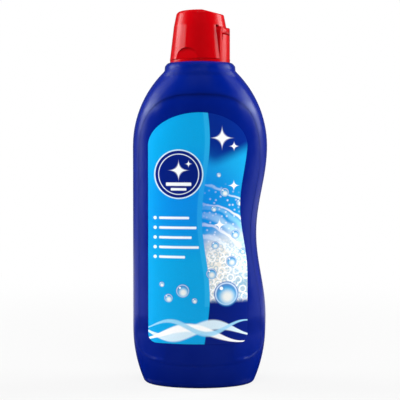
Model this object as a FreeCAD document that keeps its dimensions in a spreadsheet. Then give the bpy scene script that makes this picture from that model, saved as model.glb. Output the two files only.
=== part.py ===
import FreeCAD, Part
import math
import os

from FreeCAD import Placement, Rotation, Vector

# A squeeze bottle for dishwasher gel: a blown bottle, a push-on closure with a hinged lid, two
# labels and the gel. Millimetres, +Z up. The origin is the middle of the foot's resting plane.
# The wide side runs along X with the hand grip at +X, and the front label faces -Y.

doc = FreeCAD.newDocument("GelBottle")
sheet = doc.addObject("Spreadsheet::Sheet", "Sizes")

# Sizes that can be set by themselves
DRIVING = {
    # bottle body, from the foot up
    "body_half_width": 46.2,
    "body_half_depth": 31.0,
    "body_wall": 1.3,
    "heel_radius": 3.6,
    "foot_hollow": 1.6,
    "foot_hollow_half": 14.0,
    "taper_tall": 38.0,
    "taper_in_wide": 8.1,
    "taper_in_deep": 5.4,
    "straight_tall": 125.0,
    "shoulder_tall": 50.2,
    "shoulder_out": 1.0,
    "front_rise": 20.0,
    "grip_up": 66.0,
    "grip_reach": 59.0,
    "grip_in": 7.3,
    "foot_lean": 1.2,
    "foot_lean_reach": 115.0,
    # label panels and labels
    "panel_deep": 0.45,
    "panel_flat": 0.45,
    "panel_margin": 4.7,
    "panel_foot": 16.0,
    "panel_foot_rise": 14.0,
    "panel_crown_down": 16.2,
    "panel_crown_rise": 47.0,
    "panel_roundness": 3.0,
    "label_thick": 0.15,
    "glue_line": 0.03,
    "label_margin_left": 11.4,
    "label_margin_right": 14.3,
    "label_foot_up": 15.0,
    "label_corner": 5.4,
    "label_crown_down": 12.2,
    "label_crown_rise": 21.8,
    "label_grip_up": 19.0,
    "label_grip_reach": 46.0,
    "label_grip_in": 5.1,
    # collar and neck
    "collar_wall": 3.3,
    "collar_tall": 6.2,
    "collar_edge": 1.9,
    "trough_deep": 7.4,
    "neck_bore": 15.2,
    "neck_wall": 2.2,
    "neck_proud": 0.1,
    "bead_out": 0.8,
    "bead_down": 4.6,
    "bead_tall": 1.5,
    # gel
    "gel_up": 29.4,
    "gel_clear": 0.25,
    # closure base
    "closure_turn": 28.0,
    "skirt_wall": 2.0,
    "skirt_foot_gap": 0.4,
    "bead_gap": 0.4,
    "collar_gap": 0.5,
    "deck_thick": 1.8,
    "plug_ring_wall": 1.3,
    "plug_ring_deep": 4.5,
    "seal_gap": 0.25,
    "spout_foot_radius": 7.0,
    "spout_tip_wall": 1.65,
    "spout_foot_wall": 1.8,
    "spout_tall": 19.7,
    "orifice_deep": 4.0,
    # hinge tower
    "tower_half_width": 7.5,
    "tower_deep": 6.4,
    "tower_wall": 1.6,
    "tower_corner": 3.0,
    "cheek_wall": 1.9,
    "hinge_up": 19.7,
    "hinge_gap": 0.3,
    "barrel_radius": 2.6,
    "barrel_inset": 0.1,
    "pivot_radius": 1.2,
    "pivot_gap": 0.05,
    "pivot_skin": 0.5,
    "slit_wide": 0.6,
    "slit_tall": 3.6,
    # lid
    "lid_gap": 0.25,
    "lid_out": 0.1,
    "lid_wall": 1.5,
    "lid_tall": 33.5,
    "lid_bend_up": 23.2,
    "lid_bend_in": 2.75,
    "lid_top_in": 4.8,
    "lid_edge": 3.0,
    "slant_reach": 8.3,
    "slant_angle": 16.0,
    "slant_edge": 1.3,
    "swing_gap": 0.9,
    "stopper_radius": 2.3,
    "stopper_gap": 0.25,
    "stopper_deep": 1.5,
    "stopper_bore": 1.3,
    "finger_radius": 8.4,
    "finger_deep": 1.8,
    "finger_drop": 1.0,
    "lift_out": 1.0,
    "lift_radius": 4.1,
    "lift_thick": 1.6,
}

# Places and sizes that follow from them, worked out in the sheet
DERIVED = {
    "shoulder_foot": "taper_tall + straight_tall",
    "shoulder_top": "shoulder_foot + shoulder_tall",
    "grip_middle": "taper_tall + grip_up",
    "collar_top": "shoulder_top + collar_tall",
    "trough_floor": "collar_top - trough_deep",
    "neck_top": "collar_top + neck_proud",
    "neck_radius": "neck_bore + neck_wall",
    "bead_foot": "neck_top - bead_down",
    "skirt_inner": "neck_radius + bead_out + bead_gap",
    "skirt_radius": "skirt_inner + skirt_wall",
    "skirt_foot": "trough_floor + skirt_foot_gap",
    "catch_foot": "bead_foot - bead_gap - bead_tall",
    "trough_radius": "skirt_radius + collar_gap",
    "collar_radius": "trough_radius + collar_wall",
    "shoulder_radius": "collar_radius + shoulder_out",
    "panel_crown": "shoulder_top - panel_crown_down",
    "label_foot": "panel_foot + label_foot_up",
    "label_crown": "panel_crown - label_crown_down",
    "label_grip_middle": "grip_middle + label_grip_up",
    "gel_level": "shoulder_foot + gel_up",
    "deck_top": "neck_top + deck_thick",
    "plug_ring_radius": "neck_bore - seal_gap",
    "orifice_radius": "stopper_radius + stopper_gap",
    "spout_tip_radius": "orifice_radius + spout_tip_wall",
    "spout_top": "deck_top + spout_tall",
    "hinge_out": "skirt_radius - barrel_radius - barrel_inset",
    "hinge_height": "deck_top + hinge_up",
    "tower_in": "skirt_radius - tower_deep",
    "slot_half_width": "tower_half_width - cheek_wall",
    "notch_foot": "hinge_height - barrel_radius - hinge_gap",
    "notch_top": "hinge_height + 2 * barrel_radius",
    "lid_foot": "deck_top + lid_gap",
    "lid_bend": "deck_top + lid_bend_up",
    "lid_top": "deck_top + lid_tall",
    "lid_foot_radius": "skirt_radius + lid_out",
    "lid_bend_radius": "lid_foot_radius - lid_bend_in",
    "lid_top_radius": "lid_foot_radius - lid_top_in",
    "swing_height": "hinge_height + barrel_radius + swing_gap",
    "arm_half_width": "slot_half_width - hinge_gap",
    "stopper_foot": "spout_top - stopper_deep",
    "finger_flat": "lid_foot_radius - finger_deep",
}

for row, (alias, value) in enumerate([*DRIVING.items(), *DERIVED.items()], start=1):
    sheet.set(f"A{row}", alias)
    sheet.set(f"B{row}", f"={value}" if alias in DERIVED else str(value))
    sheet.setAlias(f"B{row}", alias)
doc.recompute()


def size(alias):
    return float(sheet.get(alias))


# ---- bottle, labels and gel: free forms --------------------------------------------------------

TAPER_STEPS, GRIP_STEPS, SHOULDER_STEPS = 5, 14, 9


def arc_drop(run, rise, reach):
    """How far an arc that starts upright has come in after run, if it comes in by rise at reach."""
    radius = (reach**2 + rise**2) / (2 * rise)
    return radius - math.sqrt(max(radius**2 - run**2, 0.0))


def bell(z, middle, reach):
    """1 at the middle, falling smoothly to 0 at reach above and below it."""
    return (1 + math.cos(math.pi * min(abs(z - middle) / reach, 1.0))) / 2


def half_sizes(z):
    """Half-widths towards -X and +X, and half-depth, of the body at height z."""
    width, depth = size("body_half_width"), size("body_half_depth")
    taper_tall, shoulder_foot = size("taper_tall"), size("shoulder_foot")
    left, deep = width, depth
    if z < taper_tall:
        share = arc_drop(taper_tall - z, size("taper_in_wide"), taper_tall) / size("taper_in_wide")
        left = width - share * size("taper_in_wide")
        deep = depth - share * size("taper_in_deep")
    elif z > shoulder_foot:
        left = width - arc_drop(z - shoulder_foot, width - size("shoulder_radius"), size("shoulder_tall"))
        climb = max(z - shoulder_foot - size("front_rise"), 0.0)
        deep = depth - arc_drop(climb, depth - size("shoulder_radius"), size("shoulder_tall") - size("front_rise"))
    right = left - size("grip_in") * bell(z, size("grip_middle"), size("grip_reach"))
    return left, right - size("foot_lean") * bell(z, 0.0, size("foot_lean_reach")), deep


def section(z, inset, flat=0.0):
    """A closed wire of four quarter ellipses around the body at height z; flat makes its front flatter."""
    left, right, deep = (half - inset for half in half_sizes(z))
    left, right = left + flat, right + flat
    corners = [(right, 0), (0, deep), (-left, 0), (0, -deep)]
    edges = []
    for start, end in zip(corners, corners[1:] + corners[:1]):
        poles = [Vector(*start, z), Vector(start[0] + end[0], start[1] + end[1], z), Vector(*end, z)]
        quarter = Part.BSplineCurve()
        quarter.buildFromPolesMultsKnots(poles, [3, 3], [0.0, 1.0], False, 2, [1.0, math.sqrt(0.5), 1.0])
        edges.append(quarter.toShape())
    return Part.Wire(edges)


def body_levels(low, high):
    """Heights of the sections between low and high, even along each stretch of the outline."""
    stretches = [(0.0, size("taper_tall"), TAPER_STEPS),
                 (size("taper_tall"), size("straight_tall"), GRIP_STEPS),
                 (size("shoulder_foot"), size("shoulder_tall"), SHOULDER_STEPS)]
    levels = [start + tall * step / steps for start, tall, steps in stretches for step in range(steps)]
    closest = 0.3 * size("shoulder_tall") / SHOULDER_STEPS
    return [low] + [z for z in levels if low + closest < z < high - closest] + [high]


def body_form(inset, low, high, flat=0.0):
    """The body's outer form between two heights, smaller by inset all round."""
    return Part.makeLoft([section(z, inset, flat) for z in body_levels(low, high)], True, False)


def shell_between(outer_inset, inner_inset, outer_flat):
    """The thin space outside the panels' flatter form, over their height."""
    low, high = size("panel_foot") / 2, (size("panel_crown") + size("shoulder_top")) / 2
    inner = body_form(inner_inset, low, high, size("panel_flat"))
    return body_form(outer_inset, low, high, outer_flat).cut(inner)


def turned(points):
    """A solid turned about Z from (radius, height) points."""
    outline = Part.makePolygon([Vector(radius, 0, z) for radius, z in points + points[:1]])
    return Part.Face(outline).revolve(Vector(), Vector(0, 0, 1), 360)


def smooth_edge(points):
    curve = Part.BSplineCurve()
    curve.interpolate(points)
    return curve.toShape()


def arch_points(left, right, spring, rise, roundness, steps=16):
    """A superellipse arch from (right, spring) over its crown to (-left, spring)."""
    points = []
    for step in range(steps + 1):
        angle = math.pi * step / steps
        across, up = math.cos(angle), math.sin(angle)
        half = right if across > 0 else left
        x = math.copysign(half * abs(across) ** (2 / roundness), across)
        points.append(Vector(x, 0, spring + rise * max(up, 0.0) ** (2 / roundness)))
    return points


def side_points(right, foot, top, middle, reach, pull, steps=12):
    """The side over the hand grip, from the foot to the top."""
    heights = [foot + (top - foot) * step / steps for step in range(steps + 1)]
    return [Vector(right - pull * bell(z, middle, reach), 0, z) for z in heights]


def prism(edges, front):
    face = Part.Face(Part.Wire(edges))
    reach = 2 * size("body_half_depth")
    return face.extrude(Vector(0, -reach if front else reach, 0))


def panel_prism(front):
    """The panel's outline, carried along Y: arched top, bowed foot, one side over the grip."""
    half = size("body_half_width") - size("panel_margin")
    crown, rise = size("panel_crown"), size("panel_crown_rise")
    foot, foot_rise = size("panel_foot"), size("panel_foot_rise")
    side = side_points(half, foot + foot_rise, crown - rise, size("grip_middle"), size("grip_reach"),
                       size("grip_in"))
    top = arch_points(half, side[-1].x, crown - rise, rise, size("panel_roundness"))
    bottom = arch_points(half, side[0].x, foot + foot_rise, -foot_rise, size("panel_roundness"))
    edges = [smooth_edge(side), smooth_edge(top), Part.makeLine(top[-1], bottom[-1])]
    return prism(edges + [smooth_edge(bottom[::-1])], front)


def label_prism(front):
    """The label's outline, carried along Y: arched top, level foot with round corners."""
    left = size("body_half_width") - size("label_margin_left")
    right = size("body_half_width") - size("label_margin_right")
    crown, rise = size("label_crown"), size("label_crown_rise")
    foot, corner = size("label_foot"), size("label_corner")
    side = side_points(right, foot + corner, crown - rise, size("label_grip_middle"),
                       size("label_grip_reach"), size("label_grip_in"))
    top = arch_points(left, side[-1].x, crown - rise, rise, 2.0)
    round_in = corner * (1 - math.sqrt(0.5))
    low_left = [Vector(-left, 0, foot + corner), Vector(-left + round_in, 0, foot + round_in),
                Vector(-left + corner, 0, foot)]
    low_right = [Vector(right - corner, 0, foot), Vector(right - round_in, 0, foot + round_in), side[0]]
    edges = [smooth_edge(side), smooth_edge(top), Part.makeLine(top[-1], low_left[0]),
             Part.Arc(*low_left).toShape(), Part.makeLine(low_left[-1], low_right[0]),
             Part.Arc(*low_right).toShape()]
    return prism(edges, front)


def bottle_shape():
    wall, collar_top, edge = size("body_wall"), size("collar_top"), size("collar_edge")
    collar, trough, floor = size("collar_radius"), size("trough_radius"), size("trough_floor")
    neck, bore, neck_top = size("neck_radius"), size("neck_bore"), size("neck_top")
    bead_radius, bead_foot = neck + size("bead_out"), size("bead_foot")
    bead_top, bead_slope = bead_foot + size("bead_tall"), 0.3
    above = neck_top + wall

    body = body_form(0, 0, size("shoulder_top"))
    heel = [edge_ for edge_ in body.Edges if edge_.BoundBox.ZMax < 0.01]
    body = body.makeFillet(size("heel_radius"), heel)
    hollow_deep, hollow_half = size("foot_hollow"), size("foot_hollow_half")
    hollow_radius = (hollow_half**2 + hollow_deep**2) / (2 * hollow_deep)
    body = body.cut(Part.makeSphere(hollow_radius, Vector(0, 0, hollow_deep - hollow_radius)))
    recess = shell_between(-wall, size("panel_deep"), 0.0)
    for front in (True, False):
        body = body.cut(recess.common(panel_prism(front)))

    ring_foot = size("shoulder_top")
    ring = turned([(0, ring_foot), (size("shoulder_radius"), ring_foot), (collar, ring_foot + wall),
                   (collar - bead_slope, collar_top - edge), (collar - edge, collar_top), (0, collar_top)])
    rim_heights = (collar_top, collar_top - edge)
    rim = [edge_ for edge_ in ring.Edges if edge_.Length > 4 * bore and edge_.BoundBox.ZLength < 0.01
           and min(abs(edge_.BoundBox.ZMin - z) for z in rim_heights) < 0.01]
    body = body.fuse(ring.makeFillet(0.45 * edge, rim))
    body = body.cut(turned([(0, floor), (trough, floor), (trough, above), (0, above)]))
    body = body.fuse(turned([(0, floor - wall), (neck, floor - wall), (neck, bead_foot),
                             (bead_radius, bead_foot + bead_slope), (bead_radius, bead_top - bead_slope),
                             (neck, bead_top + bead_slope), (neck, neck_top), (0, neck_top)]))
    cavity = body_form(wall, wall + hollow_deep, floor - wall)
    cavity = cavity.fuse(turned([(0, floor - 2 * wall), (bore, floor - 2 * wall), (bore, above), (0, above)]))
    return body.cut(cavity).removeSplitter()


def label_shape(front):
    outside = size("panel_deep") - size("glue_line")
    return shell_between(outside - size("label_thick"), outside, size("panel_flat")).common(label_prism(front))


def gel_shape():
    inset = size("body_wall") + size("gel_clear")
    return body_form(inset, inset + size("foot_hollow"), size("gel_level"))


def feature(label, shape):
    obj = doc.addObject("Part::Feature", label)
    obj.Shape = shape.Solids[0] if len(shape.Solids) == 1 else shape
    obj.Label = label
    obj.Placement = Placement()
    return obj


# ---- closure: primitives and booleans bound to the sheet ----------------------------------------
# Both pieces are drawn with the hinge towards +X and turned about the neck's axis when placed.


def in_sheet(expression):
    """Puts the sheet's name before each alias of an expression."""
    words = expression.replace("(", " ( ").replace(")", " ) ").split()
    return " ".join(f"Sizes.{word}" if word in DRIVING or word in DERIVED else word for word in words)


def bind(obj, **expressions):
    """Ties properties to the sheet; a double underscore stands for a dot in a property's path."""
    for path, expression in expressions.items():
        obj.setExpression(path.replace("__", "."), in_sheet(expression))
    return obj


def place(obj, x="0", y="0", z="0"):
    return bind(obj, Placement__Base__x=x, Placement__Base__y=y, Placement__Base__z=z)


def cylinder(name, radius, low, high, x="0"):
    obj = doc.addObject("Part::Cylinder", name)
    return place(bind(obj, Radius=radius, Height=f"( {high} ) - ( {low} )"), x=x, z=low)


def cone(name, low_radius, high_radius, low, high):
    obj = doc.addObject("Part::Cone", name)
    return place(bind(obj, Radius1=low_radius, Radius2=high_radius, Height=f"( {high} ) - ( {low} )"), z=low)


def bar(name, radius, half_length, x, z):
    """A round bar along Y, the hinge's direction, centred on the closure's middle plane."""
    obj = doc.addObject("Part::Cylinder", name)
    obj.Placement = Placement(Vector(), Rotation(Vector(1, 0, 0), -90))
    bind(obj, Radius=radius, Height=f"2 * ( {half_length} )")
    return place(obj, x=x, y=f"0 - ( {half_length} )", z=z)


def block(name, x_from, x_to, half_width, low, high):
    """A box centred on Y."""
    obj = doc.addObject("Part::Box", name)
    bind(obj, Length=f"( {x_to} ) - ( {x_from} )", Width=f"2 * ( {half_width} )", Height=f"( {high} ) - ( {low} )")
    return place(obj, x=x_from, y=f"0 - ( {half_width} )", z=low)


def fuse(name, *shapes):
    obj = doc.addObject("Part::MultiFuse", name)
    obj.Shapes = list(shapes)
    obj.Refine = True
    return obj


def common(name, *shapes):
    obj = doc.addObject("Part::MultiCommon", name)
    obj.Shapes = list(shapes)
    return obj


def cut(name, base, *tools):
    obj = doc.addObject("Part::Cut", name)
    obj.Base = base
    obj.Tool = tools[0] if len(tools) == 1 else fuse(name + "Tools", *tools)
    return obj


def rounded(name, base, radius, chosen):
    """Rounds the edges of base that chosen picks."""
    doc.recompute()
    obj = doc.addObject("Part::Fillet", name)
    obj.Base = base
    numbered = enumerate(base.Shape.Edges, start=1)
    obj.Edges = [(number, radius, radius) for number, edge in numbered if chosen(edge.BoundBox)]
    return obj


def make_tower():
    """The hinge tower: a channel with two cheeks that carry the lid's pivots."""
    low = block("TowerLow", "tower_in", "skirt_radius + 1", "tower_half_width", "neck_top", "hinge_height")
    top = bar("TowerTop", "skirt_radius - hinge_out", "tower_half_width", "hinge_out", "hinge_height")
    plan = cylinder("TowerPlan", "skirt_radius", "neck_top", "notch_top")
    face = block("TowerFace", "0", "skirt_radius + 1", "tower_half_width", "skirt_foot",
                 "hinge_height + skirt_radius - hinge_out")
    top_of_face = size("hinge_height") + size("skirt_radius") - size("hinge_out")
    face_round = rounded("TowerRound", face, size("tower_corner"),
                         lambda box: box.ZMin > top_of_face - 0.01 and box.YLength < 0.01)
    solid = common("TowerSolid", fuse("TowerSide", low, top), plan, face_round)
    channel = block("TowerChannel", "0", "skirt_radius - tower_wall", "slot_half_width", "deck_top", "notch_top")
    notch = block("TowerNotch", "0", "skirt_radius + 1", "slot_half_width", "notch_foot", "notch_top")
    sockets = bar("PivotSockets", "pivot_radius + pivot_gap", "tower_half_width - pivot_skin", "hinge_out",
                  "hinge_height")
    slit_both = block("SlitBoth", "0", "skirt_radius + 1", "slot_half_width", "notch_foot - slit_tall", "notch_top")
    slit_keep = block("SlitKeep", "0", "skirt_radius + 1", "slot_half_width - slit_wide", "skirt_foot", "notch_top")
    return cut("Tower", solid, channel, notch, sockets, cut("Slits", slit_both, slit_keep))


def make_closure_base():
    """Skirt, deck, sealing ring, spout and hinge tower, moulded in one."""
    skirt = cylinder("Skirt", "skirt_radius", "skirt_foot", "deck_top")
    skirt_hollow = cylinder("SkirtHollow", "skirt_inner", "skirt_foot", "neck_top")
    catch = cut("CatchRing", cylinder("CatchOuter", "skirt_inner + skirt_wall / 2", "catch_foot", "catch_foot + bead_tall"),
               cylinder("CatchInner", "neck_radius + bead_gap", "catch_foot", "catch_foot + bead_tall"))
    ring = cut("PlugRing", cylinder("RingOuter", "plug_ring_radius", "neck_top - plug_ring_deep", "neck_top"),
               cylinder("RingInner", "plug_ring_radius - plug_ring_wall", "neck_top - plug_ring_deep", "neck_top"))
    spout = cone("Spout", "spout_foot_radius", "spout_tip_radius", "deck_top", "spout_top")
    walls = fuse("BaseWalls", cut("SkirtShell", skirt, skirt_hollow), catch, ring, spout, make_tower())
    way = cone("SpoutWay", "spout_foot_radius - spout_foot_wall", "orifice_radius", "neck_top",
               "spout_top - orifice_deep")
    orifice = cylinder("Orifice", "orifice_radius", "spout_top - orifice_deep", "spout_top + 1")
    return cut("closure_base", walls, way, orifice)


def dome(name, inner):
    """The lid's tapered form, rounded at its top, which slants down to the hinge; inner is its hollow."""
    inset = "lid_wall" if inner else "0"
    wall = size("lid_wall") if inner else 0.0
    top, start = size("lid_top") - wall, size("lid_top_radius") - size("slant_reach")
    slope = math.tan(math.radians(size("slant_angle")))
    low = cone(name + "Low", f"lid_foot_radius - {inset}", f"lid_bend_radius - {inset}", "lid_foot", "lid_bend")
    high = cone(name + "High", f"lid_bend_radius - {inset}", f"lid_top_radius - {inset}", "lid_bend",
                f"lid_top - {inset}")
    stack = [low, high]
    if inner:
        stack.append(cylinder(name + "Foot", f"lid_foot_radius - {inset}", "lid_foot - lid_wall", "lid_foot"))
    crown = rounded(name + "Crown", fuse(name + "Solid", *stack), size("lid_edge") - wall,
                    lambda box: box.ZMin > top - 0.01)
    slant = doc.addObject("Part::Box", name + "Slant")
    slant.Placement = Placement(Vector(), Rotation(Vector(0, 1, 0), size("slant_angle")))
    bind(slant, Length="3 * lid_foot_radius", Width="4 * lid_foot_radius", Height="lid_tall")
    place(slant, "lid_top_radius - slant_reach", "0 - 2 * lid_foot_radius", f"lid_top - {inset}")
    return rounded(name, cut(name + "Slanted", crown, slant), size("slant_edge") - 0.5 * wall,
                   lambda box: abs(box.ZMax - top + slope * (box.XMin - start)) < 0.5
                   and abs(box.ZMin - top + slope * (box.XMax - start)) < 0.5)


def pressed_sides(name, radius, flat):
    """Two short bars along Y that press the finger holds into the lid's sides."""
    through = bar(name + "Bars", radius, "2 * lid_foot_radius", "0", "lid_foot - finger_drop")
    middle = bar(name + "Middle", f"2 * ( {radius} )", flat, "0", "lid_foot - finger_drop")
    return cut(name, through, middle)


def make_lid():
    """A tapered lid with finger holds, a lift lip, a hinge barrel with pivots and a stopper."""
    outer = dome("DomeOuter", False)
    inner = dome("DomeInner", True)
    hollow = cut("LidHollow", inner, pressed_sides("FingerWalls", "finger_radius + lid_wall", "finger_flat - lid_wall"))
    lift = cylinder("LiftLip", "lift_radius", "lid_foot", "lid_foot + lift_thick",
                    x="lift_radius - lid_foot_radius - lift_out")
    tower_gap = block("TowerGap", "tower_in - tower_wall * 2", "skirt_radius + 2", "tower_half_width + hinge_gap",
                      "skirt_foot", "swing_height")
    shell = cut("LidShell", fuse("LidFull", outer, lift), hollow, tower_gap,
                pressed_sides("FingerHolds", "finger_radius", "finger_flat"))
    arm = common("HingeArm", block("ArmBlock", "hinge_out - barrel_radius", "skirt_radius", "arm_half_width",
                                   "hinge_height", "swing_height + 2 * lid_wall"), outer)
    barrel = common("HingeBarrel", bar("BarrelBar", "barrel_radius", "arm_half_width", "hinge_out", "hinge_height"),
                    cylinder("BarrelPlan", "skirt_radius - barrel_inset", "deck_top", "lid_top"))
    pivots = bar("Pivots", "pivot_radius", "tower_half_width - pivot_skin - pivot_gap", "hinge_out", "hinge_height")
    stopper = cut("Stopper", cylinder("StopperOuter", "stopper_radius", "stopper_foot", "lid_top - lid_wall / 2"),
                  cylinder("StopperInner", "stopper_bore", "stopper_foot", "lid_top - 2 * lid_wall"))
    return fuse("lid", shell, arm, barrel, pivots, stopper)


parts = [
    feature("bottle", bottle_shape()),
    feature("front_label", label_shape(True)),
    feature("back_label", label_shape(False)),
    feature("gel_fill", gel_shape()),
]
for closure_part in (make_closure_base(), make_lid()):
    closure_part.Label = closure_part.Name
    closure_part.Placement = Placement(Vector(), Rotation(Vector(0, 0, 1), -size("closure_turn")))
    parts.append(closure_part)

doc.recompute()
for obj in doc.Objects:
    if "Invalid" in obj.State or "Error" in obj.State:
        raise RuntimeError(f"{obj.Name} failed: {obj.State}")
os.makedirs("parts", exist_ok=True)
for obj in parts:
    shape = obj.Shape
    if shape.isNull() or not shape.isValid() or len(shape.Solids) != 1:
        raise RuntimeError(f"{obj.Label} is not one valid solid")
    shape.exportStep(f"parts/{obj.Label}.step")
    box = shape.optimalBoundingBox()
    print(f"{obj.Label}: {shape.Volume / 1000:.2f} ml, {box.XLength:.1f} x {box.YLength:.1f} x {box.ZLength:.1f} mm")
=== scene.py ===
import bpy
import math
import numpy as np
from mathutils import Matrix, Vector

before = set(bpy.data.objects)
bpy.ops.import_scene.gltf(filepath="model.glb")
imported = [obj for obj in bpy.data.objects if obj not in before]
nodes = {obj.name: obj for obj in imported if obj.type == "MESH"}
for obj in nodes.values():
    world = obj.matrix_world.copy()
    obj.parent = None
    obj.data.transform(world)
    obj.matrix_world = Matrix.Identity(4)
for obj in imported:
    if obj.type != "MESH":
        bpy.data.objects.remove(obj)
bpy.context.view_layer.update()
print("frame loaded:", ", ".join(sorted(nodes)))


def toLinear(hexColour):
    # an sRGB hex colour as linear RGBA
    channels = np.array([int(hexColour[i:i + 2], 16) for i in (1, 3, 5)]) / 255
    linear = np.where(channels <= 0.04045, channels / 12.92, ((channels + 0.055) / 1.055) ** 2.4)
    return (*linear.tolist(), 1.0)


def addNode(tree, kind, inputs=None, **settings):
    # adds a node, sets its settings, and sets or links its inputs by name or number;
    # a node given as an input links its first output in use
    node = tree.nodes.new("ShaderNode" + kind)
    for name, value in settings.items():
        setattr(node, name, value)
    for name, value in (inputs or {}).items():
        if isinstance(value, bpy.types.Node):
            value = next(socket for socket in value.outputs if socket.enabled)
        if isinstance(value, bpy.types.NodeSocket):
            tree.links.new(value, node.inputs[name])
        else:
            node.inputs[name].default_value = value
    return node


def newMaterial(name):
    # an empty material with its output, and Object coordinates in millimetres
    material = bpy.data.materials.new(name)
    material.use_nodes = True
    tree = material.node_tree
    tree.nodes.clear()
    output = addNode(tree, "OutputMaterial")
    where = addNode(tree, "TexCoord").outputs["Object"]
    inMm = addNode(tree, "VectorMath", {0: where, 1: (1000, 1000, 1000)}, operation="MULTIPLY")
    return material, tree, output, inMm


def patchShare(tree, place, middle, half, corner, soft, tilt=0):
    # share inside a round-cornered box: max(|place - middle| - (half - corner), 0) is how far a point lies
    # outside its core, and the share falls from 1 to 0 where that length passes the corner radius
    moved = addNode(tree, "VectorMath", {0: place, 1: (*middle, 0)}, operation="SUBTRACT")
    if tilt:
        moved = addNode(tree, "VectorRotate", {"Vector": moved, "Angle": math.radians(-tilt)},
                        rotation_type="Z_AXIS")
    core = (half[0] - corner, half[1] - corner, 0)
    moved = addNode(tree, "VectorMath", {0: moved}, operation="ABSOLUTE")
    moved = addNode(tree, "VectorMath", {0: moved, 1: core}, operation="SUBTRACT")
    moved = addNode(tree, "VectorMath", {0: moved, 1: (0, 0, 0)}, operation="MAXIMUM")
    out = addNode(tree, "VectorMath", {0: moved}, operation="LENGTH")
    return addNode(tree, "MapRange", {0: out, 1: corner - soft / 2, 2: corner + soft / 2, 3: 1.0, 4: 0.0},
                   interpolation_type="SMOOTHSTEP")


def ringMesh(name, points):
    # a mesh from an array of points (rings, columns, 3): each ring is closed, and each cell is a quad
    rings, columns = points.shape[:2]
    index = np.arange(rings * columns).reshape(rings, columns)
    index = np.concatenate([index, index[:, :1]], axis=1)
    quads = np.stack([index[:-1, :-1], index[:-1, 1:], index[1:, 1:], index[1:, :-1]], axis=-1)
    mesh = bpy.data.meshes.new(name)
    mesh.from_pydata(points.reshape(-1, 3).tolist(), [], quads.reshape(-1, 4).tolist())
    mesh.polygons.foreach_set("use_smooth", np.ones(len(mesh.polygons), dtype=bool))
    mesh.update()
    piece = bpy.data.objects.new(name, mesh)
    bpy.context.scene.collection.objects.link(piece)
    return piece


def dress(piece, material):
    piece.data.materials.clear()
    piece.data.materials.append(material)


# camera: metres; it stands a little above the bottle's middle and looks slightly down
cameraSizes = {"distance": 0.717, "height": 0.1511, "viewWide": 0.276, "aimedAt": 0.1259, "sensorMm": 36}

cameraData = bpy.data.cameras.new("camera")
cameraData.sensor_width = cameraSizes["sensorMm"]
cameraData.lens = cameraSizes["sensorMm"] * cameraSizes["distance"] / cameraSizes["viewWide"]
cameraData.clip_start = 0.01
camera = bpy.data.objects.new("camera", cameraData)
camera.location = (0, -cameraSizes["distance"], cameraSizes["height"])
lookDown = math.atan2(cameraSizes["height"] - cameraSizes["aimedAt"], cameraSizes["distance"])
camera.rotation_euler = (math.pi / 2 - lookDown, 0, 0)
bpy.context.scene.collection.objects.link(camera)
bpy.context.scene.camera = camera
print("camera set")


# studio: metres and watts; a round room of painted board with soft lamps
studio = {
    # the floor is seen white by nearWhite up to nearRadius, and wholly white from farRadius on
    "floorColour": "#a9a9a8", "floorRadius": 4.0, "nearRadius": 0.1, "farRadius": 0.75, "nearWhite": 0.84,
    "wallFoot": 1.4, "wallBend": 0.45, "wallTop": 2.6, "wallLift": 0.001,
    "floorStart": 0.0001, "floorRings": 24, "bendRings": 12, "columns": 96,
    # the board's strength in a gloss: nothing up to glossNear and full from glossFar on, counted from the
    # middle; nothing in front of glossFrom and full behind glossFull; glossSide up to backFrom, and falling
    # to glossBack at backFull
    "glossNear": 0.05, "glossFar": 0.4, "glossFrom": -0.45, "glossFull": 0.0,
    "glossSide": 0.52, "glossBack": 0.07, "backFrom": 0.5, "backFull": 1.4,
    "worldColour": "#ffffff", "worldStrength": 0.1,
    # name: place, aimed at, wide, tall, watts, seen in the gloss
    "lamps": {
        "topFront": ((0.0, -1.0, 1.5), (0, 0, 0.12), 1.4, 0.8, 25.0, False),
        "leftFill": ((-1.1, 0.2, 0.62), (0, 0, 0.13), 0.6, 1.1, 20.0, False),
        "rightFill": ((1.1, 0.2, 0.62), (0, 0, 0.13), 0.6, 1.1, 22.0, False),
        "leftHigh": ((-1.0, 0.02, 0.58), (0, 0, 0.2), 1.0, 0.14, 1.2, True),
        "rightHigh": ((1.0, 0.02, 0.58), (0, 0, 0.2), 1.0, 0.14, 1.4, True),
        "leftEdge": ((-1.0, 0.3, 0.56), (0, 0, 0.2), 0.5, 0.5, 0.95, True),
        "rightEdge": ((1.0, 0.3, 0.56), (0, 0, 0.2), 0.5, 0.5, 1.1, True),
        "leftLow": ((-0.98, 0.2, 0.34), (0, 0, 0.15), 0.45, 0.4, 0.35, True),
        "rightLow": ((0.98, 0.2, 0.34), (0, 0, 0.15), 0.45, 0.4, 0.35, True),
    },
}


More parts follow.
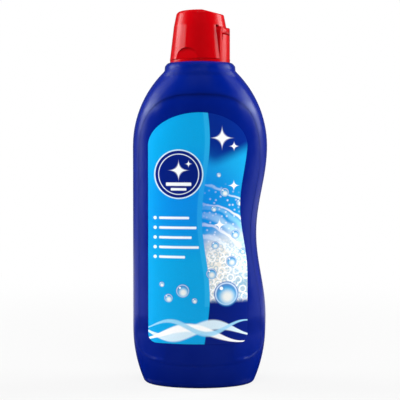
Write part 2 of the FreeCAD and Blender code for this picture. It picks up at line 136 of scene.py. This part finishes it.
def studioMaterial():
    # painted board: near the object it keeps some of its shadow, farther out it is seen plain white.
    # a gloss sees it black in front and on the floor near the object, lit at the sides and dim at the back
    material, tree, output, inMm = newMaterial("painted board, matt")
    board = addNode(tree, "BsdfDiffuse", {"Color": toLinear(studio["floorColour"])})
    away = addNode(tree, "VectorMath", {0: inMm}, operation="LENGTH")
    far = addNode(tree, "MapRange", {0: away, 1: 1000 * studio["nearRadius"], 2: 1000 * studio["farRadius"]},
                  interpolation_type="SMOOTHSTEP")
    near = addNode(tree, "MapRange", {0: far, 3: studio["nearWhite"]}, interpolation_type="SMOOTHSTEP")
    depth = addNode(tree, "SeparateXYZ", {0: inMm}).outputs["Y"]
    front = addNode(tree, "MapRange", {
        0: depth, 1: 1000 * studio["glossFrom"], 2: 1000 * studio["glossFull"],
    }, interpolation_type="SMOOTHSTEP")
    back = addNode(tree, "MapRange", {
        0: depth, 1: 1000 * studio["backFrom"], 2: 1000 * studio["backFull"],
        3: studio["glossSide"], 4: studio["glossBack"],
    }, interpolation_type="SMOOTHSTEP")
    around = addNode(tree, "Math", {0: front, 1: back}, operation="MULTIPLY")
    clear = addNode(tree, "MapRange", {0: away, 1: 1000 * studio["glossNear"], 2: 1000 * studio["glossFar"]},
                   interpolation_type="SMOOTHSTEP")
    bentLight = addNode(tree, "Math", {0: around, 1: clear}, operation="MULTIPLY")
    ray = addNode(tree, "LightPath").outputs
    strength = addNode(tree, "Math", {0: ray["Is Camera Ray"], 1: bentLight}, operation="MAXIMUM")
    glow = addNode(tree, "Emission", {"Color": (1, 1, 1, 1), "Strength": strength})
    bent = addNode(tree, "Math", {0: ray["Is Glossy Ray"], 1: ray["Is Transmission Ray"]},
                   operation="MAXIMUM")
    share = addNode(tree, "Math", {0: ray["Is Camera Ray"], 1: near, 2: bent}, operation="MULTIPLY_ADD")
    mixed = addNode(tree, "MixShader", {0: share, 1: board, 2: glow})
    tree.links.new(mixed.outputs[0], output.inputs["Surface"])
    return material


def makeStudio():
    # floor: rings of growing radius round Z; the innermost is all but a point
    board = studioMaterial()
    turns = np.linspace(0, 2 * np.pi, studio["columns"], endpoint=False)
    radii = np.linspace(studio["floorStart"], studio["floorRadius"], studio["floorRings"])
    floorPoints = np.stack([radii[:, None] * np.cos(turns), radii[:, None] * np.sin(turns),
                            np.zeros((len(radii), len(turns)))], axis=-1)
    floor = ringMesh("floor", floorPoints)
    # backdrop: a quarter round and then a wall, turned once round Z
    bend, foot = studio["wallBend"], studio["wallFoot"]
    curve = np.linspace(0, np.pi / 2, studio["bendRings"])
    outward = np.concatenate([foot + bend * np.sin(curve), [foot + bend]])
    upward = np.concatenate([studio["wallLift"] + bend * (1 - np.cos(curve)), [studio["wallTop"]]])
    wallPoints = np.stack([outward[:, None] * np.cos(turns), outward[:, None] * np.sin(turns),
                           np.repeat(upward[:, None], len(turns), axis=1)], axis=-1)
    wall = ringMesh("backdrop", wallPoints)
    for piece in (floor, wall):
        dress(piece, board)

    world = bpy.data.worlds.new("studio")
    world.use_nodes = True
    background = world.node_tree.nodes["Background"]
    background.inputs["Color"].default_value = toLinear(studio["worldColour"])
    background.inputs["Strength"].default_value = studio["worldStrength"]
    bpy.context.scene.world = world
    for name, (place, target, wide, tall, watts, inGloss) in studio["lamps"].items():
        lampData = bpy.data.lights.new(name, "AREA")
        lampData.shape = "RECTANGLE"
        lampData.size, lampData.size_y, lampData.energy = wide, tall, watts
        lamp = bpy.data.objects.new(name, lampData)
        lamp.location = place
        lamp.visible_glossy = inGloss
        aim = Vector(target) - Vector(place)
        lamp.rotation_euler = aim.to_track_quat("-Z", "Y").to_euler()
        bpy.context.scene.collection.objects.link(lamp)


makeStudio()
bpy.context.scene.view_settings.view_transform = "Standard"
print("studio made")


# HDPE, blow-moulded and coloured through: a waxy gloss over deep blue, gently wavy, with a fine parting line
bottleFinish = {
    "colour": "#001470", "colourThin": "#001c80", "roughness": 0.2, "ior": 1.5, "gloss": 0.4,
    "sheen": "#dcf2ff", "flowMm": 22, "waveMm": 9, "grainMm": 0.9, "partingMm": 0.5, "edgeMm": 5.0,
    # the parting line's and the grain's height as a share of the wave's, and the strength of all three
    "partingShare": 0.25, "grainShare": 0.02, "bumpStrength": 0.06, "bumpMm": 1.0, "roughnessSpread": 0.03,
    # the step at the panel's lower corners, mm: half its width, its lower edge, corner radius, how wide and
    # how deep it is, from where to where it grows outward, and between which heights it fades
    "footHalf": 43.5, "footLow": 20.0, "footCorner": 14.0, "footSoft": 3.0, "footDeep": 1.7,
    "footOutward": (22.0, 34.0), "footFade": (35.0, 49.0),
}


def bottleMaterial():
    material, tree, output, inMm = newMaterial("HDPE, blow-moulded")
    flow = addNode(tree, "TexNoise", {
        "Vector": inMm, "Scale": 1 / bottleFinish["flowMm"], "Detail": 3.0})
    thick, thin = toLinear(bottleFinish["colour"]), toLinear(bottleFinish["colourThin"])
    colour = addNode(tree, "Mix", {0: flow, 6: thick, 7: thin}, data_type="RGBA")
    wave = addNode(tree, "TexNoise", {
        "Vector": inMm, "Scale": 1 / bottleFinish["waveMm"], "Detail": 2.0})
    grain = addNode(tree, "TexNoise", {
        "Vector": inMm, "Scale": 1 / bottleFinish["grainMm"], "Detail": 1.0})
    # the mould's halves meet in the plane y = 0; the line is drawn a little wider than a real one
    axes = addNode(tree, "SeparateXYZ", {0: inMm}).outputs
    off = addNode(tree, "Math", {0: axes["Y"]}, operation="ABSOLUTE")
    parting = addNode(tree, "MapRange", {0: off, 2: bottleFinish["partingMm"], 3: 1.0, 4: 0.0},
                      interpolation_type="SMOOTHSTEP")
    height = addNode(tree, "Math", {0: parting, 1: bottleFinish["partingShare"], 2: wave},
                     operation="MULTIPLY_ADD")
    height = addNode(tree, "Math", {0: grain, 1: bottleFinish["grainShare"], 2: height},
                     operation="MULTIPLY_ADD")
    edge = addNode(tree, "Bevel", {"Radius": bottleFinish["edgeMm"] / 1000}, samples=6)
    # the panel's step is sharper at its lower corners: a dip in a round-cornered box, which fades upwards and
    # towards the middle. The box's upper edge lies above the fade, so only its lower corners show
    place = addNode(tree, "CombineXYZ", {"X": axes["X"], "Y": axes["Z"]})
    fadeFrom, fadeTo = bottleFinish["footFade"]
    middle = (0.0, bottleFinish["footLow"] + fadeTo)
    half = (bottleFinish["footHalf"], fadeTo)
    foot = patchShare(tree, place, middle, half, bottleFinish["footCorner"], bottleFinish["footSoft"])
    low = addNode(tree, "MapRange", {0: axes["Z"], 1: fadeFrom, 2: fadeTo, 3: 1.0, 4: 0.0},
                  interpolation_type="SMOOTHSTEP")
    across = addNode(tree, "Math", {0: axes["X"]}, operation="ABSOLUTE")
    inner, outer = bottleFinish["footOutward"]
    outward = addNode(tree, "MapRange", {0: across, 1: inner, 2: outer}, interpolation_type="SMOOTHSTEP")
    dip = addNode(tree, "Math", {0: foot, 1: low}, operation="MULTIPLY")
    dip = addNode(tree, "Math", {0: dip, 1: outward}, operation="MULTIPLY")
    step = addNode(tree, "Bump", {
        "Height": dip, "Strength": 1.0, "Distance": bottleFinish["footDeep"] / 1000, "Normal": edge,
    }, invert=True)
    bump = addNode(tree, "Bump", {
        "Height": height, "Normal": step,
        "Strength": bottleFinish["bumpStrength"], "Distance": bottleFinish["bumpMm"] / 1000,
    })
    # the noise lies almost wholly between 0.3 and 0.7
    spread = bottleFinish["roughnessSpread"]
    least, most = bottleFinish["roughness"] - spread, bottleFinish["roughness"] + spread
    rough = addNode(tree, "MapRange", {0: flow, 1: 0.3, 2: 0.7, 3: least, 4: most},
                    interpolation_type="SMOOTHSTEP")
    shader = addNode(tree, "BsdfPrincipled", {
        "Base Color": colour, "Roughness": rough, "IOR": bottleFinish["ior"], "Normal": bump,
        "Specular IOR Level": bottleFinish["gloss"], "Specular Tint": toLinear(bottleFinish["sheen"]),
    })
    tree.links.new(shader.outputs[0], output.inputs["Surface"])
    return material


dress(nodes["bottle"], bottleMaterial())
print("bottle dressed")


# PP, injection-moulded: a clear bright red with a harder gloss than the bottle's, and a fine mould texture
closureFinish = {
    "colour": "#b8000a", "colourDeep": "#ac0006", "roughness": 0.16, "ior": 1.49, "gloss": 0.44,
    "flowMm": 12, "grainMm": 0.8, "edgeMm": 0.35, "bumpStrength": 0.02, "bumpMm": 0.3,
}


def closureMaterial():
    material, tree, output, inMm = newMaterial("PP, injection-moulded")
    flow = addNode(tree, "TexNoise", {
        "Vector": inMm, "Scale": 1 / closureFinish["flowMm"], "Detail": 2.0})
    clear, deep = toLinear(closureFinish["colour"]), toLinear(closureFinish["colourDeep"])
    colour = addNode(tree, "Mix", {0: flow, 6: clear, 7: deep}, data_type="RGBA")
    grain = addNode(tree, "TexNoise", {
        "Vector": inMm, "Scale": 1 / closureFinish["grainMm"], "Detail": 1.0})
    edge = addNode(tree, "Bevel", {"Radius": closureFinish["edgeMm"] / 1000}, samples=4)
    bump = addNode(tree, "Bump", {
        "Height": grain, "Normal": edge,
        "Strength": closureFinish["bumpStrength"], "Distance": closureFinish["bumpMm"] / 1000,
    })
    shader = addNode(tree, "BsdfPrincipled", {
        "Base Color": colour, "Roughness": closureFinish["roughness"], "IOR": closureFinish["ior"],
        "Specular IOR Level": closureFinish["gloss"], "Normal": bump,
    })
    tree.links.new(shader.outputs[0], output.inputs["Surface"])
    return material


red = closureMaterial()
for name in ("closure_base", "lid"):
    dress(nodes[name], red)
print("closure dressed")


# thickened gel, a water-clear blue with a cloudy swirl, under the bottle's opaque wall
gelFinish = {
    "colour": "#2f86e6", "colourCloud": "#7db9f2", "roughness": 0.12, "ior": 1.37, "clear": 0.7,
    "swirlMm": 18,
}


def gelMaterial():
    material, tree, output, inMm = newMaterial("gel, thickened")
    swirl = addNode(tree, "TexNoise", {
        "Vector": inMm, "Scale": 1 / gelFinish["swirlMm"], "Detail": 3.0, "Distortion": 1.5})
    clear, cloud = toLinear(gelFinish["colour"]), toLinear(gelFinish["colourCloud"])
    colour = addNode(tree, "Mix", {0: swirl, 6: clear, 7: cloud}, data_type="RGBA")
    shader = addNode(tree, "BsdfPrincipled", {
        "Base Color": colour, "Roughness": gelFinish["roughness"], "IOR": gelFinish["ior"],
        "Transmission Weight": gelFinish["clear"],
    })
    tree.links.new(shader.outputs[0], output.inputs["Surface"])
    return material


dress(nodes["gel_fill"], gelMaterial())
print("gel dressed")


# OPP film, reverse-printed: smooth, with clear even inks and less gloss than the wall round it.
# Places and sizes on the prints are millimetres on the label's face, x to the right and z up from the foot.
# a patch is: middle x, z, half wide, half tall, corner radius, soft edge, tilt in degrees, colour, strength
# an arc is: middle x, z, radius, half wide, soft edge, colour, strength
# a ribbon is: middle z, rise, length, phase, half tall, soft edge, colour, strength, from x, to x
# a spark is: middle x, z, reach, colour; a bubble is: middle x, z, radius
# a line is: middle x, z, half its length, under the colour that it is printed in
# sway bends the fields' upright edges: reach, length and phase of the wave
# within is a soft box round what it belongs to: middle, half size, corner radius, soft edge
filmFinish = {"roughness": 0.28, "ior": 1.5, "gloss": 0.15, "inkGrainMm": 0.7, "inkSpread": 0.03}
lineLook = {"halfTall": 0.8, "corner": 0.5, "soft": 0.6, "strength": 0.95}
frontPrint = {
    "ground": "#14a4e0",
    "behind": [
        (22.0, 122.0, 22.0, 18.0, 18.0, 20.0, 0, "#0e8fd6", 0.7),
        (25.0, 82.0, 20.0, 26.0, 16.0, 16.0, 8, "#dfe6ea", 0.9),
        (9.0, 80.0, 9.0, 21.0, 8.0, 10.0, -6, "#ece6dc", 0.85),
        (32.0, 72.0, 8.0, 8.0, 7.0, 9.0, 0, "#86a3b4", 0.7),
    ],
    "sweeps": {"warpMm": 16, "bend": 9.0, "within": ((18.0, 112.0), (20.0, 36.0), 18.0, 16.0), "arcs": [
        (0.0, 84.0, 33.0, 2.2, 2.6, "#bfe6f8", 0.9), (1.5, 82.0, 28.5, 0.8, 0.9, "#ffffff", 0.95),
        (3.0, 86.0, 38.5, 0.7, 1.0, "#ffffff", 0.9), (-2.0, 80.0, 43.5, 1.3, 1.8, "#8ad2f3", 0.85),
        (4.0, 78.0, 24.0, 1.6, 1.8, "#f2fbff", 0.85), (2.0, 88.0, 48.0, 0.6, 0.9, "#e9f8ff", 0.8),
    ]},
    "foam": [
        {"within": ((21.0, 77.0), (20.0, 22.0), 12.0, 12.0), "cellMm": 3.4, "ring": 0.36, "line": 0.09,
         "colour": "#2f9fcb", "strength": 0.5},
        {"within": ((20.0, 75.0), (20.0, 20.0), 12.0, 12.0), "cellMm": 5.6, "ring": 0.38, "line": 0.07,
         "colour": "#ffffff", "strength": 0.9},
        {"within": ((13.0, 108.0), (12.0, 26.0), 10.0, 12.0), "cellMm": 4.2, "ring": 0.02, "line": 0.11,
         "colour": "#ffffff", "strength": 0.9},
    ],
    "sway": (2.6, 104.0, 0.9),
    "fields": [
        (46.0, 199.5, 60.0, 26.0, 8.0, 10.0, 27.0, "#01288a", 1.0),
        (30.0, 37.0, 30.0, 23.0, 3.0, 4.5, 0, "#001a78", 1.0),
        (-26.1, 110.0, 30.0, 84.0, 0.4, 0.5, 0, "#02a0df", 1.0),
        (-6.0, 126.0, 24.0, 26.0, 22.0, 34.0, 0, "#0084e4", 0.75),
        (2.25, 122.0, 1.65, 66.0, 0.5, 0.8, 0, "#3fc0f0", 0.3),
    ],
    # a round seal with two short lines; its star is a spark
    "panels": [
        (-14.2, 144.0, 16.4, 16.4, 16.4, 0.5, 0, "#cfe6f6", 1.0),
        (-14.2, 144.0, 15.6, 15.6, 15.6, 0.5, 0, "#011c7a", 1.0),
        (-14.2, 144.0, 13.6, 13.6, 13.6, 0.5, 0, "#e8f1f8", 1.0),
        (-14.2, 144.0, 13.1, 13.1, 13.1, 0.5, 0, "#011c7a", 1.0),
        (-14.2, 137.4, 8.4, 1.1, 0.6, 0.6, 0, "#f3f8fd", 1.0),
        (-14.2, 134.0, 5.2, 0.8, 0.5, 0.6, 0, "#f3f8fd", 1.0),
    ],
    "lines": {"#f3f8fd": [
        (-17.2, 115.0, 10.0), (-14.8, 108.5, 12.4), (-16.4, 102.0, 10.8), (-14.0, 95.5, 13.2),
        (-18.6, 89.0, 8.6),
    ]},
    "dots": {
        "x": -30.0, "z": (115.0, 108.5, 102.0, 95.5, 89.0), "radius": 1.1, "soft": 0.5, "colour": "#e4f3fb",
    },
    "bubbles": [
        (17.5, 64.5, 8.2), (7.6, 78.0, 3.6), (16.4, 132.0, 3.0), (9.2, 121.0, 2.0), (26.5, 125.0, 2.4),
        (21.0, 86.0, 3.6), (28.5, 92.5, 2.2), (10.0, 97.0, 2.6), (12.5, 143.5, 1.6), (23.5, 104.0, 3.0),
        (-11.5, 66.5, 4.6), (-21.0, 61.5, 3.0), (-25.5, 70.5, 1.9), (-3.6, 60.0, 2.0),
    ],
    "sparks": [
        (14.6, 168.0, 9.0, "#f6fbff"), (22.6, 162.6, 4.0, "#f6fbff"), (22.5, 136.5, 4.5, "#ffffff"),
        (13.0, 110.5, 5.0, "#ffffff"), (-14.2, 146.6, 8.0, "#f6fbff"), (-7.6, 150.8, 3.0, "#f6fbff"),
    ],
    "ribbons": [
        (39.5, 4.5, 62.0, 0.6, 3.4, 1.8, "#d9eefa", 0.95, -40.0, 35.0),
        (37.0, 5.0, 74.0, 2.2, 2.6, 1.6, "#ffffff", 0.95, -40.0, 30.0),
        (42.0, 4.2, 50.0, 4.1, 1.6, 1.4, "#9ad6f4", 0.9, -40.0, 38.0),
    ],
}


def paint(tree, colour, share, hexColour, strength=1.0):
    # lays an ink over the colour so far, by its share and strength
    if strength < 1:
        share = addNode(tree, "Math", {0: share, 1: strength}, operation="MULTIPLY")
    return addNode(tree, "Mix", {0: share, 6: colour, 7: toLinear(hexColour)}, data_type="RGBA")


def paintPatches(tree, place, colour, patches):
    for x, z, wide, tall, corner, soft, tilt, hexColour, strength in patches:
        share = patchShare(tree, place, (x, z), (wide, tall), corner, soft, tilt)
        colour = paint(tree, colour, share, hexColour, strength)
    return colour


def paintLines(tree, place, colour, lines):
    corner, soft = lineLook["corner"], lineLook["soft"]
    for hexColour, rows in lines.items():
        for x, z, half in rows:
            share = patchShare(tree, place, (x, z), (half, lineLook["halfTall"]), corner, soft)
            colour = paint(tree, colour, share, hexColour, lineLook["strength"])
    return colour


def paintDots(tree, place, colour, dots):
    radius = dots["radius"]
    for z in dots["z"]:
        share = patchShare(tree, place, (dots["x"], z), (radius, radius), radius, dots["soft"])
        colour = paint(tree, colour, share, dots["colour"])
    return colour


def swayPlace(tree, place, reach, length, phase):
    # the same place moved sideways by a sine of its height: x + reach sin(2 pi z / length + phase)
    axes = addNode(tree, "SeparateXYZ", {0: place}).outputs
    pace = 2 * math.pi / length
    turn = addNode(tree, "Math", {0: axes["Y"], 1: pace, 2: phase}, operation="MULTIPLY_ADD")
    turn = addNode(tree, "Math", {0: turn}, operation="SINE")
    moved = addNode(tree, "Math", {0: turn, 1: reach, 2: axes["X"]}, operation="MULTIPLY_ADD")
    return addNode(tree, "CombineXYZ", {"X": moved, "Y": axes["Y"]})


def paintSweeps(tree, place, colour, sweeps):
    # curved streaks: the distance to a middle point, bent by a slow noise, lies close to the streak's radius.
    # the noise is about 0.5 on average, so a streak lies half a bend lower and farther left than its numbers
    # say, and its radius is counted that much longer
    warp = addNode(tree, "TexNoise", {"Vector": place, "Scale": 1 / sweeps["warpMm"], "Detail": 2.0})
    bend = (sweeps["bend"], sweeps["bend"], 0)
    noise = warp.outputs["Color"]
    bent = addNode(tree, "VectorMath", {0: noise, 1: bend, 2: place}, operation="MULTIPLY_ADD")
    inside = patchShare(tree, place, *sweeps["within"])
    for x, z, radius, half, soft, hexColour, strength in sweeps["arcs"]:
        away = addNode(tree, "VectorMath", {0: bent, 1: (x, z, 0)}, operation="DISTANCE")
        off = addNode(tree, "Math", {0: away, 1: radius + sweeps["bend"] / 2}, operation="SUBTRACT")
        off = addNode(tree, "Math", {0: off}, operation="ABSOLUTE")
        streak = addNode(tree, "MapRange", {0: off, 1: half - soft / 2, 2: half + soft / 2, 3: 1.0, 4: 0.0},
                         interpolation_type="SMOOTHSTEP")
        share = addNode(tree, "Math", {0: streak, 1: inside}, operation="MULTIPLY")
        colour = paint(tree, colour, share, hexColour, strength)
    return colour


def paintFoam(tree, place, colour, foam):
    # a round ring in each cell of an uneven pattern: the distance to the cell's point is close to its radius.
    # ring is that radius and line is about half the line's width, both counted in cells
    cells = addNode(tree, "TexVoronoi", {"Vector": place, "Scale": 1 / foam["cellMm"], "Randomness": 0.8},
                    voronoi_dimensions="2D")
    off = addNode(tree, "Math", {0: cells, 1: foam["ring"]}, operation="SUBTRACT")
    off = addNode(tree, "Math", {0: off}, operation="ABSOLUTE")
    rings = addNode(tree, "MapRange", {0: off, 2: 2 * foam["line"], 3: 1.0, 4: 0.0},
                    interpolation_type="SMOOTHSTEP")
    inside = patchShare(tree, place, *foam["within"])
    share = addNode(tree, "Math", {0: rings, 1: inside}, operation="MULTIPLY")
    return paint(tree, colour, share, foam["colour"], foam["strength"])


bubbleLook = {
    "rimLeast": 0.35, "rimShare": 0.09,
    "inks": {
        "rim": "#0c5cb8", "ring": "#dff4ff", "inside": "#1668bd", "pool": "#3fb2e6", "light": "#f3f1ea",
        "gleam": "#ffffff",
    },
}


def paintBubbles(tree, place, colour, bubbles):
    # a dark rim, a thin light ring, a clear middle and a small gleam up to the left
    for x, z, radius in bubbles:
        rim = max(bubbleLook["rimLeast"], bubbleLook["rimShare"] * radius)
        # each: how far right and up from the middle in radii, its own radius, soft edge, ink and strength
        looks = [
            (0, 0, radius, 0.5, "rim", 0.8),
            (0, 0, radius - rim, 0.8, "ring", 0.9),
            (0, 0, radius - 2 * rim, 1.2 * rim + 0.4, "inside", 0.9),
            (0.04, -0.16, 0.74 * radius, 0.5 * radius, "pool", 0.9),
            (0.08, -0.24, 0.5 * radius, 0.6 * radius, "light", 0.9),
            (-0.4, 0.45, 0.14 * radius, 0.4, "gleam", 0.95),
        ]
        for right, up, size, soft, ink, strength in looks:
            middle = (x + right * radius, z + up * radius)
            share = patchShare(tree, place, middle, (size, size), size, soft)
            colour = paint(tree, colour, share, bubbleLook["inks"][ink], strength)
    return colour


def paintSparks(tree, place, colour, sparks):
    # four-pointed stars: the square roots of |dx| and |dz| add up to less than that of the reach,
    # with a soft edge a little to both sides of it
    inner, outer = 0.8, 1.05
    for x, z, reach, hexColour in sparks:
        moved = addNode(tree, "VectorMath", {0: place, 1: (x, z, 0)}, operation="SUBTRACT")
        moved = addNode(tree, "VectorMath", {0: moved}, operation="ABSOLUTE")
        axes = addNode(tree, "SeparateXYZ", {0: moved}).outputs
        across = addNode(tree, "Math", {0: axes["X"]}, operation="SQRT")
        upward = addNode(tree, "Math", {0: axes["Y"]}, operation="SQRT")
        total = addNode(tree, "Math", {0: across, 1: upward}, operation="ADD")
        edge = math.sqrt(reach)
        share = addNode(tree, "MapRange", {0: total, 1: inner * edge, 2: outer * edge, 3: 1.0, 4: 0.0},
                        interpolation_type="SMOOTHSTEP")
        colour = paint(tree, colour, share, hexColour)
    return colour


def paintRibbons(tree, place, colour, ribbons):
    # bands along a sine of x: z + rise sin(2 pi x / length + phase). They thin out towards both ends
    thinFrom, thinnest = 0.2, 0.15
    axes = addNode(tree, "SeparateXYZ", {0: place}).outputs
    for z, rise, length, phase, half, soft, hexColour, strength, fromX, toX in ribbons:
        pace = 2 * math.pi / length
        turn = addNode(tree, "Math", {0: axes["X"], 1: pace, 2: phase}, operation="MULTIPLY_ADD")
        turn = addNode(tree, "Math", {0: turn}, operation="SINE")
        line = addNode(tree, "Math", {0: turn, 1: rise, 2: z}, operation="MULTIPLY_ADD")
        away = addNode(tree, "Math", {0: axes["Y"], 1: line}, operation="SUBTRACT")
        away = addNode(tree, "Math", {0: away}, operation="ABSOLUTE")
        middle, reach = (fromX + toX) / 2, (toX - fromX) / 2
        across = addNode(tree, "Math", {0: axes["X"], 1: middle}, operation="SUBTRACT")
        across = addNode(tree, "Math", {0: across}, operation="ABSOLUTE")
        swell = addNode(tree, "MapRange", {0: across, 1: thinFrom * reach, 2: reach, 3: 1.0, 4: thinnest},
                        interpolation_type="SMOOTHSTEP")
        away = addNode(tree, "Math", {0: away, 1: swell}, operation="DIVIDE")
        share = addNode(tree, "MapRange", {0: away, 1: half - soft / 2, 2: half + soft / 2, 3: 1.0, 4: 0.0},
                        interpolation_type="SMOOTHSTEP")
        colour = paint(tree, colour, share, hexColour, strength)
    return colour


def filmMaterial(name, mirrored, artwork):
    # the print is painted from the ground up, and a very slight grain makes the inks uneven
    material, tree, output, inMm = newMaterial(name)
    axes = addNode(tree, "SeparateXYZ", {0: inMm}).outputs
    right = addNode(tree, "Math", {0: axes["X"], 1: -1 if mirrored else 1}, operation="MULTIPLY")
    place = addNode(tree, "CombineXYZ", {"X": right, "Y": axes["Z"]})
    colour = addNode(tree, "RGB")
    colour.outputs[0].default_value = toLinear(artwork["ground"])
    colour = paintPatches(tree, place, colour, artwork.get("behind", ()))
    if "sweeps" in artwork:
        colour = paintSweeps(tree, place, colour, artwork["sweeps"])
    for foam in artwork.get("foam", ()):
        colour = paintFoam(tree, place, colour, foam)
    swayed = swayPlace(tree, place, *artwork["sway"])
    colour = paintPatches(tree, swayed, colour, artwork["fields"])
    colour = paintPatches(tree, place, colour, artwork["panels"])
    colour = paintLines(tree, place, colour, artwork["lines"])
    if "dots" in artwork:
        colour = paintDots(tree, place, colour, artwork["dots"])
    colour = paintRibbons(tree, place, colour, artwork["ribbons"])
    colour = paintBubbles(tree, place, colour, artwork["bubbles"])
    colour = paintSparks(tree, place, colour, artwork["sparks"])
    grain = addNode(tree, "TexNoise", {"Vector": inMm, "Scale": 1 / filmFinish["inkGrainMm"], "Detail": 2.0})
    # the noise hardly passes 0.2 and 0.8
    spread = filmFinish["inkSpread"]
    value = addNode(tree, "MapRange", {0: grain, 1: 0.2, 2: 0.8, 3: 1 - spread, 4: 1 + spread},
                    interpolation_type="SMOOTHSTEP")
    ink = addNode(tree, "HueSaturation", {"Color": colour, "Value": value})
    shader = addNode(tree, "BsdfPrincipled", {
        "Base Color": ink, "Roughness": filmFinish["roughness"], "IOR": filmFinish["ior"],
        "Specular IOR Level": filmFinish["gloss"],
    })
    tree.links.new(shader.outputs[0], output.inputs["Surface"])
    return material


backPrint = {
    "ground": "#02a0df",
    "sway": (2.6, 104.0, 0.9),
    "fields": [
        (0.0, 37.0, 60.0, 23.0, 3.0, 4.5, 0, "#001a78", 1.0),
        (0.0, 192.0, 60.0, 26.0, 6.0, 10.0, -14, "#01288a", 1.0),
        (0.0, 112.0, 28.0, 40.0, 20.0, 30.0, 0, "#0084e4", 0.6),
    ],
    "panels": [
        (0.0, 150.0, 22.0, 1.6, 0.6, 0.6, 0, "#f3f8fd", 1.0),
        (0.0, 96.0, 22.5, 20.0, 2.0, 0.5, 0, "#f1f6fb", 1.0),
        (0.0, 96.0, 21.7, 19.2, 1.4, 0.5, 0, "#0b63bd", 1.0),
        (15.0, 62.0, 9.0, 5.0, 0.8, 0.5, 0, "#f4f6f8", 1.0),
    ],
    "lines": {
        "#f3f8fd": [(-3.5, 138.0, 22.5), (-2.0, 134.0, 24.0), (-4.0, 130.0, 22.0), (-8.0, 126.0, 18.0)],
        "#e4f1fa": [
            (-2.0, 108.0, 16.0), (-1.0, 102.0, 17.0), (-3.0, 96.0, 15.0), (0.0, 90.0, 18.0),
            (-6.0, 84.0, 12.0),
        ],
    },
    "bubbles": [(-18.0, 66.0, 4.4), (-9.5, 62.0, 2.4), (-23.0, 57.5, 1.8)],
    "sparks": [(0.0, 168.0, 8.0, "#f6fbff"), (9.0, 164.0, 3.5, "#f6fbff")],
    "ribbons": [
        (40.0, 4.0, 66.0, 1.4, 2.2, 1.6, "#d9eefa", 0.9, -34.0, 36.0),
        (42.0, 3.4, 52.0, 3.6, 1.0, 1.2, "#8fd0f2", 0.9, -32.0, 36.0),
    ],
}

dress(nodes["front_label"], filmMaterial("OPP film, printed front", False, frontPrint))
dress(nodes["back_label"], filmMaterial("OPP film, printed back", True, backPrint))
print("labels dressed")
